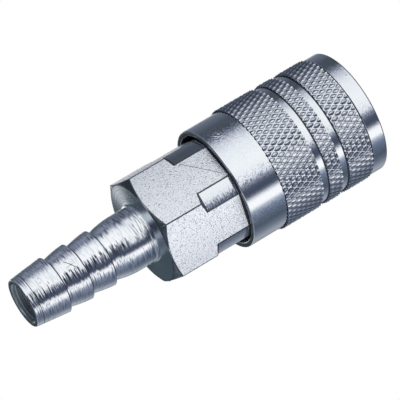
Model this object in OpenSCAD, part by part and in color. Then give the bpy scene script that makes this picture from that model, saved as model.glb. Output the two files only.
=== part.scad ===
// Quick coupling, socket half, with a hose barb.
// It stands on the sleeve's front face. Z runs along the axis, from the plug's mouth to the barb's tip.

/* [Sleeve] */
// Length of the sleeve
sleeve_len = 30.8; // [28:0.1:36]
// Diameter of the smooth band at the sleeve's front
band_d = 25; // [24.6:0.1:27]
// Length of the smooth band at the sleeve's front
band_len = 3.2; // [2:0.1:5]
// Diameter of the smooth band at the sleeve's rear
rear_band_d = 24.7; // [24.2:0.1:24.8]
// Diameter of the spring pocket inside the sleeve
pocket_d = 22.6; // [22.2:0.1:23]
// Radius of the rounded rim at the sleeve's rear
rim_r = 0.35; // [0.1:0.05:0.45]

/* [Knurl] */
// Diameter over the knurl's points
knurl_d = 25.56; // [25.2:0.02:27]
// Depth of the knurl
knurl_depth = 0.3; // [0.2:0.02:0.5]
// Number of diamonds around the sleeve
knurl_count = 62; // [40:1:70]
// Half the length of one diamond along the axis
knurl_row = 1.11; // [0.8:0.01:1.6]
// Length of the knurled zone beside the front band
zone_front_len = 5.4; // [3:0.1:7]
// Length of the middle knurled zone
zone_middle_len = 2.9; // [1.5:0.1:4]
// Length of the knurled zone beside the rear band
zone_rear_len = 7.95; // [5:0.05:10]
// Width of the smooth grooves between the zones
groove_w = 1.63; // [1:0.01:2.2]
// Diameter of the smooth grooves
groove_d = 24.6; // [24:0.1:24.7]

/* [Plug bore] */
// Diameter of the bore that takes the plug's collar
plug_bore_d = 12.1; // [11.8:0.05:12.4]
// Depth of the plug bore, from the front body's face
plug_bore_depth = 12.2; // [11:0.1:13]
// Diameter of the bore that takes the plug's nose
nose_bore_d = 8.1; // [7.9:0.05:8.4]
// Length of the nose bore in front of the seal
nose_land_len = 3.4; // [2:0.1:4]
// Distance of the front body's face behind the sleeve's face
nose_recess = 0.8; // [0.3:0.1:1.2]

/* [Ball lock] */
// Diameter of a locking ball
ball_d = 3.2; // [3:0.05:3.3]
// Distance of the ball centres from the sleeve's front face
ball_z = 9; // [8.6:0.1:10]
// Outer diameter of the front body
body_d = 16.4; // [16:0.1:16.8]

/* [Retaining ring] */
// Outer diameter of the retaining ring
ring_d = 18.6; // [18:0.1:19]
// Thickness of the retaining ring
ring_t = 1; // [0.8:0.05:1.2]
// Angle of the retaining ring's gap
ring_gap = 28; // [15:1:60]

/* [Hexagon] */
// Size across the hexagon's flats
hex_af = 20.5; // [20:0.1:21]
// Length of the hexagon with its full corners
hex_len = 8.7; // [6:0.1:12]
// Diameter to which the front corners are turned down
turned_d = 21.8; // [21:0.05:22]
// Length of the turned-down corners behind the sleeve
turned_show = 7.1; // [6.9:0.1:9]

/* [Hose barb] */
// Length of the barb, from the hexagon's face
barb_len = 26.4; // [24:0.1:34]
// Diameter over the barbs
barb_d = 11.4; // [10.6:0.1:12]
// Diameter of the barb's tip
tip_d = 9.8; // [9.4:0.1:10.2]
// Diameter of the valley behind each barb
valley_d = 9.85; // [9.2:0.05:10.4]
// Distance from one barb to the next
barb_pitch = 5; // [4:0.1:6]
// Number of barbs
barb_count = 3; // [2:1:3]
// Diameter of the barb's root
root_d = 11.5; // [10.8:0.1:12]
// Diameter of the ring between the root and the hexagon
root_ring_d = 12.2; // [11.8:0.1:13]
// Length of the ring between the root and the hexagon
root_ring_len = 0.65; // [0.4:0.05:1.2]
// Diameter of the bore through the barb
barb_bore_d = 7.5; // [6:0.1:7.8]

/* [Valve] */
// Diameter of the valve's front tube
tube_d = 7.4; // [7:0.1:7.6]
// Bore of the valve's front tube
tube_bore_d = 5; // [4:0.1:5.4]
// Diameter of the valve's guide
guide_d = 12.6; // [12:0.1:12.7]
// Section diameter of the valve's O-ring
oring_section = 1.5; // [1.2:0.1:1.6]

/* [Springs] */
// Wire diameter of the sleeve spring
sleeve_wire = 1.2; // [1:0.05:1.4]
// Turns of the sleeve spring
sleeve_turns = 6; // [4:0.5:6]
// Wire diameter of the valve spring
valve_wire = 0.7; // [0.5:0.05:0.8]
// Turns of the valve spring
valve_turns = 6; // [4:0.5:6.5]

/* [Hidden] */
$fn = 96;

// Number of locking balls, one node each
ball_count = 6;

// Clearances between pieces
slide_clear = 0.15;
seat_clear = 0.05;
fit_clear = 0.05;
spring_clear = 0.25;
ball_clear = 0.05;
touch_clear = 0.02;

// Sleeve, from the front face up
edge_chamfer = 0.2;
mouth_chamfer = 0.5;
knurl_top = knurl_d / 2;
knurl_root = knurl_top - knurl_depth;
groove_r = groove_d / 2;
knurl_base_r = groove_r - 0.5;
zone_front_z = band_len + 0.3;
zone_middle_z = zone_front_z + zone_front_len + groove_w;
zone_rear_z = zone_middle_z + zone_middle_len + groove_w;
rear_band_z = zone_rear_z + zone_rear_len;
pocket_r = pocket_d / 2;

// Ball lock
body_r = body_d / 2;
ball_r = ball_d / 2;
plug_bore_r = plug_bore_d / 2;
ball_centre_r = body_r - ball_r;
hole_r = ball_r + ball_clear;
hole_mouth_r = ball_r - 0.04;
land_r = body_r + slide_clear;
land_z = ball_z - 0.6;
land_len = 3.1;
spring_seat_z = land_z + land_len;
release_r = ring_d / 2 + 0.4;

// Retaining ring: its groove lies in front of the balls
ring_z = 4;
ring_groove_r = body_r - 0.65;
ring_shoulder_z = ring_z + ring_t + seat_clear;
ramp_r = ring_d / 2 - 0.3;

// Front body
front_z = nose_recess;
shoulder_z = front_z + plug_bore_depth;
nose_bore_r = nose_bore_d / 2;
seal_z = shoulder_z + nose_land_len;
seal_len = 2.6;
seal_groove_r = 6.6;
seal_to_seat = 3.6;
seat_z = seal_z + seal_len + seal_to_seat;
chamber_r = guide_d / 2 + 0.1;
seat_end_z = seat_z + chamber_r - nose_bore_r;
adaptor_z = 27;
thread_r = body_r - 0.25;
thread_len = 7;
tail_z = adaptor_z + thread_len;

// Adaptor: the sleeve's rear rim lies at sleeve_len, and the hexagon's shoulder behind it
shoulder_end_z = sleeve_len + turned_show;
corner_r = hex_af / 2 / cos(30);
shoulder_run = 0.8;
hex_z = shoulder_end_z + shoulder_run;
hex_face_z = hex_z + hex_len;
face_r = hex_af / 2 - 0.1;
hex_chamfer_run = (corner_r - face_r) * tan(30);
gasket_t = 0.8;
gasket_z = tail_z + gasket_t;
chamber_run = 3.8;
spring_stop_z = gasket_z + chamber_run;
chamber_rear_r = 6.6;
bore_r = barb_bore_d / 2;
tip_z = hex_face_z + barb_len;

// Barb, measured back from its tip
root_sink = 1;
first_barb_len = 6.9;
barb_r = barb_d / 2;
valley_r = valley_d / 2;
tip_r = tip_d / 2;
root_r = root_d / 2;
crest_round = 0.12;
step_len = 0.25;
valley_flat = 0.05;
root_ring_r = root_ring_d / 2;
root_ring_edge = 0.15;
taper_swell = 1.45;
root_swell = 1.95;
root_taper_len = 5.6;
root_end_z = tip_z - first_barb_len - (barb_count - 1) * barb_pitch - root_taper_len;

// Valve, from the front of its tube
tube_z = seal_z + seal_len + 0.3;
tube_r = tube_d / 2;
oring_r = oring_section / 2;
oring_centre_r = tube_r + oring_r;
oring_z = seat_z + (oring_centre_r - nose_bore_r) + (oring_r + touch_clear) * sqrt(2);
lip_r = nose_bore_r - 0.1;
lip_z = seat_z + 0.1;
groove_z = oring_z - oring_r - 0.01;
flange_z = oring_z + oring_r + 0.01;
flange_r = 5.7;
guide_z = flange_z + 1.4;
guide_len = 3;
guide_r = guide_d / 2;
guide_flat = 4.9;
boss_r = 4.2;
boss_len = 1.2;
port_r = 1.1;
port_run = 2;
port_z = tube_z + port_run;
drill_z = port_z + port_r + 0.3;

// Springs
sleeve_spring_r = body_r + spring_clear + sleeve_wire / 2;
valve_spring_r = boss_r + 0.35 + valve_wire / 2;

// One point of the knurl: odd places are the diamonds' points, even places lie in the valleys
function knurl_point(column, row, z0) =
    let (r = (column + row) % 2 == 0 ? knurl_root : knurl_top,
         a = column * 180 / knurl_count)
    [r * cos(a), r * sin(a), z0 + row * knurl_row];

function between(p, q, t) = p + (q - p) * t;

// Where a cut across the last row of diamonds crosses a valley
function valley_cut(column, row, t, z0) =
    (column + row) % 2 == 0
        ? between(knurl_point(column, row, z0), knurl_point(column + 1, row + 1, z0), t)
        : between(knurl_point(column + 1, row, z0), knurl_point(column, row + 1, z0), t);

// A ring of pointed diamonds, from z0 for a length of len, cut square at both ends
module knurl_ring(z0, len) {
    columns = 2 * knurl_count;
    rows = floor(len / knurl_row - 0.001);
    part = len / knurl_row - rows;
    full = [for (row = [0:rows], c = [0:columns - 1]) knurl_point(c, row, z0)];
    cut = [for (c = [0:columns - 1], k = [0:1])
        k == 0 ? between(knurl_point(c, rows, z0), knurl_point(c, rows + 1, z0), part)
               : valley_cut(c, rows, part, z0)];
    inner = [for (z = [z0, z0 + len], c = [0:columns - 1])
        [knurl_base_r * cos(c * 180 / knurl_count), knurl_base_r * sin(c * 180 / knurl_count), z]];
    cut_at = len(full);
    inner_at = cut_at + len(cut);
    // Numbers of the points in each list
    function f(row, c) = row * columns + c % columns;
    function e(c, k) = cut_at + 2 * (c % columns) + k;
    function n(end, c) = inner_at + end * columns + c % columns;
    // Each square between two rows is split along its valley
    diamonds = [for (row = [0:1:rows - 1], c = [0:columns - 1], k = [0:1])
        (c + row) % 2 == 0
            ? (k == 0 ? [f(row, c), f(row + 1, c + 1), f(row, c + 1)] : [f(row, c), f(row + 1, c), f(row + 1, c + 1)])
            : (k == 0 ? [f(row, c), f(row + 1, c), f(row, c + 1)] : [f(row, c + 1), f(row + 1, c), f(row + 1, c + 1)])];
    last = [for (c = [0:columns - 1], k = [0:1])
        (c + rows) % 2 == 0
            ? (k == 0 ? [f(rows, c), e(c, 0), e(c, 1)] : [f(rows, c), e(c, 1), e(c + 1, 0), f(rows, c + 1)])
            : (k == 0 ? [f(rows, c), e(c, 0), e(c, 1), f(rows, c + 1)] : [f(rows, c + 1), e(c, 1), e(c + 1, 0)])];
    ends = [for (c = [0:columns - 1], end = [0:1])
        end == 0 ? [f(0, c), f(0, c + 1), n(0, c + 1), n(0, c)]
                 : [n(1, c), n(1, c + 1), e(c + 1, 0), e(c, 1), e(c, 0)]];
    walls = [for (c = [0:columns - 1]) [n(0, c), n(0, c + 1), n(1, c + 1), n(1, c)]];
    polyhedron(concat(full, cut, inner), concat(diamonds, last, ends, walls), convexity = 4);
}

// A helical spring between two heights, with a closed turn at each end
module coil_spring(z0, z1, r, wire, turns) {
    sides = 8;
    steps = 20;
    total = round(turns * steps);
    low = z0 + wire / 2 + touch_clear;
    high = z1 - wire / 2 - touch_clear;
    closed = wire * 1.02;
    open_pitch = (high - low - 2 * closed) / (turns - 2);
    function height(t) = t < 1 ? low + t * closed
        : t > turns - 1 ? high - (turns - t) * closed
        : low + closed + (t - 1) * open_pitch;
    points = [for (i = [0:total], s = [0:sides - 1])
        let (t = i / steps, a = 360 * t, b = 360 * s / sides, rr = r + wire / 2 * cos(b))
        [rr * cos(a), rr * sin(a), height(t) + wire / 2 * sin(b)]];
    skin = [for (i = [0:total - 1], s = [0:sides - 1], k = [0:1])
        let (p = i * sides + s, q = i * sides + (s + 1) % sides)
        k == 0 ? [p, q, q + sides] : [p, q + sides, p + sides]];
    first = [for (s = [0:sides - 1]) sides - 1 - s];
    end = [for (s = [0:sides - 1]) total * sides + s];
    polyhedron(points, concat(skin, [first], [end]), convexity = 8);
}

// Turned blank of the sleeve: outside from the front up, then the bore back down
module sleeve_blank() {
    band_r = band_d / 2;
    rear_r = rear_band_d / 2;
    rotate_extrude()
        difference() {
            union() {
                polygon([
                    [release_r, 0], [band_r - edge_chamfer, 0], [band_r, edge_chamfer],
                    [band_r, band_len - 0.05], [groove_r, band_len + 0.05],
                    [groove_r, rear_band_z - 0.1], [rear_r, rear_band_z - 0.05],
                    [rear_r, sleeve_len - rim_r], [rear_r - rim_r, sleeve_len],
                    [pocket_r + rim_r, sleeve_len], [pocket_r, sleeve_len - rim_r],
                    [pocket_r, spring_seat_z], [land_r, spring_seat_z], [land_r, land_z],
                    [ramp_r, ring_shoulder_z], [release_r, ring_shoulder_z]]);
                translate([rear_r - rim_r, sleeve_len - rim_r]) circle(rim_r);
            }
            polygon([
                [release_r - 1, -1], [release_r + mouth_chamfer + 1, -1],
                [release_r, mouth_chamfer], [release_r - 1, mouth_chamfer]]);
        }
}

module sleeve() {
    color("gainsboro") {
        sleeve_blank();
        knurl_ring(zone_front_z, zone_front_len);
        knurl_ring(zone_middle_z, zone_middle_len);
        knurl_ring(zone_rear_z, zone_rear_len);
    }
}

module front_body() {
    color("silver")
        difference() {
            rotate_extrude()
                polygon([
                    [plug_bore_r + 0.6, front_z], [body_r - 0.8, front_z], [body_r, front_z + 0.8],
                    [body_r, ring_z - touch_clear], [ring_groove_r, ring_z - touch_clear],
                    [ring_groove_r, ring_z + ring_t + touch_clear], [body_r, ring_z + ring_t + touch_clear],
                    [body_r, adaptor_z], [thread_r, adaptor_z], [thread_r, tail_z], [chamber_r, tail_z],
                    [chamber_r, seat_end_z], [nose_bore_r, seat_z], [nose_bore_r, seal_z + seal_len],
                    [seal_groove_r, seal_z + seal_len], [seal_groove_r, seal_z], [nose_bore_r, seal_z],
                    [nose_bore_r, shoulder_z + 0.3], [nose_bore_r + 0.3, shoulder_z],
                    [plug_bore_r, shoulder_z], [plug_bore_r, front_z + 0.6]]);
            for (i = [0:ball_count - 1])
                rotate([0, 0, i * 360 / ball_count])
                    ball_hole();
        }
}

// Radial hole whose inner end is too narrow for the ball
module ball_hole() {
    translate([0, 0, ball_z])
        rotate([0, 90, 0]) {
            translate([0, 0, ball_centre_r]) cylinder(r = hole_r, h = body_r);
            translate([0, 0, ball_centre_r - ball_r])
                cylinder(r1 = hole_mouth_r - (hole_r - hole_mouth_r), r2 = hole_r, h = ball_r);
        }
}

module locking_ball(index) {
    color("whitesmoke")
        rotate([0, 0, index * 360 / ball_count])
            translate([ball_centre_r, 0, ball_z])
                sphere(ball_r);
}

module retaining_ring() {
    color("dimgray")
        difference() {
            rotate_extrude()
                translate([ring_groove_r + touch_clear, ring_z])
                    square([ring_d / 2 - ring_groove_r - touch_clear, ring_t]);
            // Opening of the split ring, seen from the front
            linear_extrude(ring_z + 2 * ring_t)
                polygon([[0, 0], ring_d * [cos(ring_gap / 2), sin(ring_gap / 2)],
                         ring_d * [cos(ring_gap / 2), -sin(ring_gap / 2)]]);
        }
}

module sleeve_spring() {
    color("lightsteelblue")
        coil_spring(spring_seat_z, adaptor_z, sleeve_spring_r, sleeve_wire, sleeve_turns);
}

// Lip packing: a rubber ring with a groove on its pressure side
module plug_seal() {
    lip = nose_bore_r - 0.2;
    outer = seal_groove_r - seat_clear;
    mid = (lip + outer) / 2;
    z0 = seal_z + seat_clear;
    z1 = seal_z + seal_len - seat_clear;
    color("darkslategray")
        rotate_extrude()
            polygon([
                [lip + 0.4, z0], [outer, z0], [outer, z1], [mid + 0.5, z1], [mid, z1 - 1.1],
                [mid - 0.5, z1], [lip, z1], [lip, z1 - 0.8]]);
}

module valve() {
    color("goldenrod")
        difference() {
            union() {
                rotate_extrude()
                    difference() {
                        polygon([
                            [0, tube_z], [tube_r - 0.3, tube_z], [tube_r, tube_z + 0.3], [tube_r, lip_z - 0.3],
                            [lip_r, lip_z], [lip_r, groove_z], [tube_r, groove_z], [tube_r, flange_z],
                            [flange_r, flange_z], [flange_r, guide_z], [boss_r, guide_z],
                            [boss_r, guide_z + guide_len + boss_len], [0, guide_z + guide_len + boss_len]]);
                        polygon([
                            [0, tube_z - 1], [tube_bore_d / 2, tube_z - 1], [tube_bore_d / 2, drill_z],
                            [0, drill_z + tube_bore_d / 2 * tan(31)]]);
                    }
                valve_guide();
            }
            for (a = [0, 90])
                translate([0, 0, port_z])
                    rotate([90, 0, a])
                        cylinder(r = port_r, h = 2 * tube_d, center = true);
        }
}

// Guide with three flats, which leave room for the air
module valve_guide() {
    translate([0, 0, guide_z])
        intersection() {
            cylinder(r = guide_r, h = guide_len);
            guide_triangle();
        }
}

module guide_triangle() {
    linear_extrude(guide_len)
        polygon([for (i = [0:2]) 2 * guide_flat * [cos(120 * i), sin(120 * i)]]);
}

module valve_seal() {
    color("darkslategray")
        rotate_extrude()
            translate([oring_centre_r, oring_z])
                circle(oring_r);
}

module valve_spring() {
    color("lightsteelblue")
        coil_spring(guide_z + guide_len, spring_stop_z, valve_spring_r, valve_wire, valve_turns);
}

module body_gasket() {
    color("darkred")
        rotate_extrude()
            translate([chamber_rear_r, tail_z + touch_clear])
                square([thread_r - chamber_rear_r, gasket_t - 2 * touch_clear]);
}

// Height of a barb's crest, counted from the tip
function crest_z(k) = tip_z - first_barb_len - k * barb_pitch;

// Taper towards the tip, straight where swell is 1 and bulging where it is more
function taper(r0, z0, r1, z1, swell) =
    [for (t = [0:0.2:1]) [r0 + (r1 - r0) * pow(t, swell), z0 + (z1 - z0) * t]];

// Half section of the barb: ring, root, then a step and a taper for each crest
module barb_outline() {
    polygon(concat(
        [[0, hex_face_z - root_sink], [root_ring_r, hex_face_z - root_sink],
         [root_ring_r, hex_face_z + root_ring_len - root_ring_edge],
         [root_ring_r - root_ring_edge, hex_face_z + root_ring_len], [root_r, hex_face_z + root_ring_len]],
        taper(root_r, root_end_z, valley_r, crest_z(barb_count - 1) - step_len - valley_flat, root_swell),
        [for (k = [barb_count - 1:-1:0]) each concat(
            [[valley_r, crest_z(k) - step_len]],
            [for (a = [-40:20:60]) [barb_r - crest_round + crest_round * cos(a), crest_z(k) + crest_round * sin(a)]],
            k > 0 ? taper(barb_r - crest_round / 2, crest_z(k) + crest_round, valley_r,
                          crest_z(k - 1) - step_len - valley_flat, taper_swell)
                  : taper(barb_r - crest_round / 2, crest_z(k) + crest_round, tip_r, tip_z - 0.1, 1))],
        [[tip_r - 0.1, tip_z], [0, tip_z]]));
}

module barb_adaptor() {
    color("gainsboro")
        difference() {
            union() {
                intersection() {
                    translate([0, 0, adaptor_z])
                        cylinder(r = corner_r, h = hex_face_z - adaptor_z, $fn = 6);
                    rotate_extrude()
                        polygon([
                            [0, adaptor_z], [turned_d / 2 - 0.5, adaptor_z], [turned_d / 2, adaptor_z + 0.5],
                            [turned_d / 2, shoulder_end_z], [corner_r + 0.2, hex_z],
                            [corner_r + 0.2, hex_face_z - hex_chamfer_run - 0.2 * tan(30)],
                            [face_r, hex_face_z], [0, hex_face_z]]);
                }
                rotate_extrude() barb_outline();
            }
            adaptor_bore();
        }
}

module adaptor_bore() {
    rotate_extrude()
        polygon([
            [0, adaptor_z - 1], [thread_r + fit_clear, adaptor_z - 1], [thread_r + fit_clear, gasket_z],
            [chamber_rear_r, gasket_z], [chamber_rear_r, spring_stop_z], [bore_r, spring_stop_z],
            [bore_r, tip_z - 0.3], [bore_r + 0.3, tip_z], [bore_r + 0.3, tip_z + 1], [0, tip_z + 1]]);
}

sleeve();
front_body();
barb_adaptor();
retaining_ring();
sleeve_spring();
plug_seal();
valve();
valve_seal();
valve_spring();
body_gasket();
locking_ball(0);  // locking_ball_1
locking_ball(1);  // locking_ball_2
locking_ball(2);  // locking_ball_3
locking_ball(3);  // locking_ball_4
locking_ball(4);  // locking_ball_5
locking_ball(5);  // locking_ball_6
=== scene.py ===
import math

import bpy
from mathutils import Matrix, Vector


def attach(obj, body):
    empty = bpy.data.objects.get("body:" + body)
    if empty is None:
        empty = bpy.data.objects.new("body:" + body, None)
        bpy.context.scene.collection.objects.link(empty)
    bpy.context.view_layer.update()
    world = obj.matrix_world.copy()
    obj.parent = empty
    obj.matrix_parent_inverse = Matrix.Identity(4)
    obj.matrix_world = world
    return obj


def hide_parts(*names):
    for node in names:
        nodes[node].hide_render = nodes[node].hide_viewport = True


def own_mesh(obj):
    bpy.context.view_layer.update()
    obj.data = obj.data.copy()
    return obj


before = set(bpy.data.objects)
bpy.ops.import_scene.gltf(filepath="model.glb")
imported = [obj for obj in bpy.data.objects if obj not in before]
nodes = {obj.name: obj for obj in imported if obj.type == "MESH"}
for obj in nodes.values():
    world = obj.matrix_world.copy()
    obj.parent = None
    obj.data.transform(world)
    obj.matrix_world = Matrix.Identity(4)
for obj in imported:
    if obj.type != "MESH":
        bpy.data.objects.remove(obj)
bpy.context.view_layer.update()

# Camera
# A long lens looks down on the coupling from beside the hose barb. The axis runs up to the right in the picture,
# and the sleeve's mouth points away.
LENS_MM = 275.3
SENSOR_MM = 36
AXIS_AWAY = math.radians(18.688)
AXIS_UP = math.radians(30.627)
CORNER_TURN = math.radians(34.7)
MOUTH_AT = (0.027941, -0.0167668, 0.57964)
NEAREST = 0.01
FARTHEST = 20

# Directions are worked out as the camera sees them: right, down and away
mouth_dir = Vector((math.cos(AXIS_AWAY) * math.cos(AXIS_UP), -math.cos(AXIS_AWAY) * math.sin(AXIS_UP),
                    math.sin(AXIS_AWAY)))
across = Vector((mouth_dir.y, -mouth_dir.x, 0)).normalized()
facing = mouth_dir.cross(across)
part_x = across * math.cos(CORNER_TURN) + facing * math.sin(CORNER_TURN)
part_z = -mouth_dir
part_y = part_z.cross(part_x)
to_part = Matrix((part_x, part_y, part_z))
turn = Matrix([to_part @ Vector(axis) for axis in ((1, 0, 0), (0, -1, 0), (0, 0, -1))]).transposed()
camera_data = bpy.data.cameras.new("picture_camera")
camera_data.sensor_width = SENSOR_MM
camera_data.lens = LENS_MM
camera_data.clip_start = NEAREST
camera_data.clip_end = FARTHEST
camera = bpy.data.objects.new("picture_camera", camera_data)
camera.matrix_world = Matrix.Translation(to_part @ -Vector(MOUTH_AT)) @ turn.to_4x4()
bpy.context.scene.collection.objects.link(camera)
bpy.context.scene.camera = camera
bpy.context.scene.view_settings.view_transform = "Standard"

# Room
# White panels and dark gaps between them stand around the coupling, as in a photographer's light tent.
# Each stop is a direction around the axis in degrees, counted from the panel over the picture's top.
ROOM_STOPS = [
    (0, (0.062, 0.075, 0.105)), (10, (0.21, 0.235, 0.3)), (18, (0.455, 0.475, 0.565)),
    (29, (0.65, 0.68, 0.745)), (42, (0.79, 0.84, 0.87)), (75, (0.88, 0.91, 0.93)),
    (96, (0.86, 0.89, 0.92)), (103, (0.76, 0.8, 0.87)), (109, (0.28, 0.3, 0.38)), (117, (0.07, 0.09, 0.13)),
    (127, (0.05, 0.065, 0.105)), (132, (0.12, 0.14, 0.19)), (135, (0.45, 0.47, 0.53)), (140, (0.95, 0.97, 0.99)),
    (153, (0.98, 0.99, 1.0)), (156, (0.6, 0.65, 0.74)), (160, (0.33, 0.38, 0.46)), (168, (0.14, 0.18, 0.27)),
    (181, (0.1, 0.125, 0.18)), (196, (0.068, 0.09, 0.125)), (210, (0.125, 0.155, 0.205)),
    (220, (0.2, 0.23, 0.29)), (235, (0.33, 0.36, 0.41)), (250, (0.3, 0.33, 0.38)), (261, (0.2, 0.22, 0.25)),
    (269, (0.85, 0.86, 0.88)), (279, (0.8, 0.81, 0.84)), (285, (0.3, 0.32, 0.36)), (300, (0.15, 0.17, 0.22)),
    (318, (0.11, 0.13, 0.175)), (338, (0.058, 0.072, 0.095)),
]
# Higher up, where the tapers of the barb look, the upper gap is wider and the panels end elsewhere
HIGH_STOPS = [
    (0, (0.22, 0.25, 0.32)), (6, (0.25, 0.28, 0.35)), (14, (0.45, 0.48, 0.56)), (24, (0.76, 0.79, 0.85)),
    (38, (0.9, 0.93, 0.96)), (75, (0.99, 1.0, 1.0)), (88, (0.93, 0.95, 0.97)), (95, (0.42, 0.45, 0.52)),
    (101, (0.13, 0.15, 0.21)), (112, (0.07, 0.085, 0.125)), (128, (0.065, 0.08, 0.12)), (134, (0.14, 0.16, 0.21)),
    (139, (0.6, 0.62, 0.68)), (144, (1.0, 1.0, 1.0)), (156, (0.95, 0.97, 1.0)), (163, (0.55, 0.6, 0.68)),
    (172, (0.27, 0.31, 0.39)), (184, (0.17, 0.2, 0.28)), (200, (0.135, 0.165, 0.225)), (214, (0.18, 0.21, 0.27)),
    (231, (0.38, 0.42, 0.47)), (246, (0.45, 0.48, 0.53)), (254, (0.2, 0.23, 0.26)), (260, (0.09, 0.12, 0.14)),
    (279, (0.085, 0.115, 0.135)), (300, (0.085, 0.11, 0.13)), (308, (0.08, 0.1, 0.12)), (321, (0.11, 0.14, 0.175)),
    (336, (0.18, 0.21, 0.28)), (351, (0.22, 0.25, 0.33)),
]
# Higher still, where single tool marks look, both gaps are wider towards the panel that lights the top
TOP_STOPS = [
    (0, (0.08, 0.09, 0.12)), (18, (0.14, 0.16, 0.2)), (30, (0.4, 0.43, 0.5)), (40, (0.88, 0.9, 0.94)),
    (71, (0.96, 0.97, 1.0)), (78, (0.5, 0.53, 0.6)), (84, (0.06, 0.08, 0.12)), (100, (0.03, 0.035, 0.06)),
    (130, (0.04, 0.05, 0.08)), (136, (0.12, 0.14, 0.19)), (141, (0.6, 0.62, 0.68)), (145, (1.0, 1.0, 1.0)),
    (149, (0.8, 0.83, 0.88)), (156, (0.35, 0.39, 0.47)), (166, (0.16, 0.19, 0.26)), (200, (0.1, 0.12, 0.17)),
    (231, (0.3, 0.34, 0.39)), (246, (0.45, 0.48, 0.53)), (254, (0.2, 0.23, 0.26)), (260, (0.09, 0.12, 0.14)),
    (279, (0.085, 0.115, 0.135)), (300, (0.085, 0.11, 0.13)), (336, (0.1, 0.12, 0.16)),
]
# Heights in degrees over which the second and the third set of panels take over
HIGH_SPAN = (2, 11)
TOP_SPAN = (26, 32)
# A small white card stands behind the barb, and shows as a wedge in the hexagon's turned rear face
CARD_EDGES = (281, 284, 297, 300)
CARD_HEIGHTS = (12, 17, 39, 43)
CARD_COLOUR = (1, 1, 1, 1)
# The zero direction's angle about the part's own axis
ROOM_ZERO = CORNER_TURN
# The panels' edges lean a little, so they shift around the axis with height
ROOM_LEAN = 0.25
FULL_TURN = 2 * math.pi


def link(tree, source, target):
    """Links a source to a socket, or sets the socket where the source is a plain value."""
    if isinstance(source, bpy.types.NodeSocket):
        tree.links.new(source, target)
    elif source is not None:
        target.default_value = source


def math_node(tree, operation, first, second=None):
    node = tree.nodes.new("ShaderNodeMath")
    node.operation = operation
    link(tree, first, node.inputs[0])
    link(tree, second, node.inputs[1])
    return node.outputs[0]


def fade(tree, value, start, end, low=0, high=1):
    """Goes from low to high while the value goes from start to end."""
    node = tree.nodes.new("ShaderNodeMapRange")
    for socket, source in (("Value", value), ("From Min", start), ("From Max", end), ("To Min", low),
                           ("To Max", high)):
        link(tree, source, node.inputs[socket])
    return node.outputs["Result"]


def window(tree, value, edges, unit):
    """One between the two middle edges, nothing outside the outer two."""
    first, second, third, fourth = [edge * unit for edge in edges]
    return math_node(tree, "MULTIPLY", fade(tree, value, first, second), fade(tree, value, fourth, third))


def blend(tree, share, first, second):
    """A colour between two others."""
    node = tree.nodes.new("ShaderNodeMix")
    node.data_type = "RGBA"
    for socket, source in (("Factor", share), ("A", first), ("B", second)):
        link(tree, source, node.inputs[socket])
    return node.outputs["Result"]


def colour_ramp(tree, value, stops):
    """A ramp through the given (position, colour) stops."""
    node = tree.nodes.new("ShaderNodeValToRGB")
    elements = node.color_ramp.elements
    for index, (position, colour) in enumerate(stops):
        stop = elements[index] if index < 2 else elements.new(position)
        stop.position = position
        stop.color = (*colour, 1)
    link(tree, value, node.inputs[0])
    return node.outputs[0]


def camera_sees(tree, seen, other, output_type):
    """Shows one shader to the camera and the other to everything else."""
    path = tree.nodes.new("ShaderNodeLightPath")
    mix = tree.nodes.new("ShaderNodeMixShader")
    output = tree.nodes.new(output_type)
    link(tree, path.outputs["Is Camera Ray"], mix.inputs[0])
    link(tree, other, mix.inputs[1])
    link(tree, seen, mix.inputs[2])
    link(tree, mix.outputs[0], output.inputs["Surface"])


world = bpy.data.worlds.new("light_tent")
bpy.context.scene.world = world
world.use_nodes = True
tree = world.node_tree
tree.nodes.clear()
parts = tree.nodes.new("ShaderNodeSeparateXYZ")
link(tree, tree.nodes.new("ShaderNodeTexCoord").outputs["Generated"], parts.inputs[0])
angle = math_node(tree, "ARCTAN2", parts.outputs["Y"], parts.outputs["X"])
height = math_node(tree, "ADD", math_node(tree, "ARCSINE", parts.outputs["Z"]), AXIS_AWAY)
angle = math_node(tree, "SUBTRACT", angle, math_node(tree, "MULTIPLY", height, ROOM_LEAN))
# Two more turns keep the angle above zero before its whole turns are dropped
share = math_node(tree, "SUBTRACT", ROOM_ZERO + 2 * FULL_TURN, angle)
share = math_node(tree, "FRACT", math_node(tree, "DIVIDE", share, FULL_TURN))
walls, high_walls, top_walls = [colour_ramp(tree, share, [(degrees / 360, colour) for degrees, colour in stops])
                                for stops in (ROOM_STOPS, HIGH_STOPS, TOP_STOPS)]
for ring, (start, end) in ((high_walls, HIGH_SPAN), (top_walls, TOP_SPAN)):
    walls = blend(tree, fade(tree, height, math.radians(start), math.radians(end)), walls, ring)
in_card = math_node(tree, "MULTIPLY", window(tree, share, CARD_EDGES, 1 / 360),
                    window(tree, height, CARD_HEIGHTS, math.radians(1)))
room = tree.nodes.new("ShaderNodeBackground")
link(tree, blend(tree, in_card, walls, CARD_COLOUR), room.inputs["Color"])
plain = tree.nodes.new("ShaderNodeBackground")
link(tree, (1, 1, 1, 1), plain.inputs["Color"])
camera_sees(tree, plain.outputs[0], room.outputs[0], "ShaderNodeOutputWorld")

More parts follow.
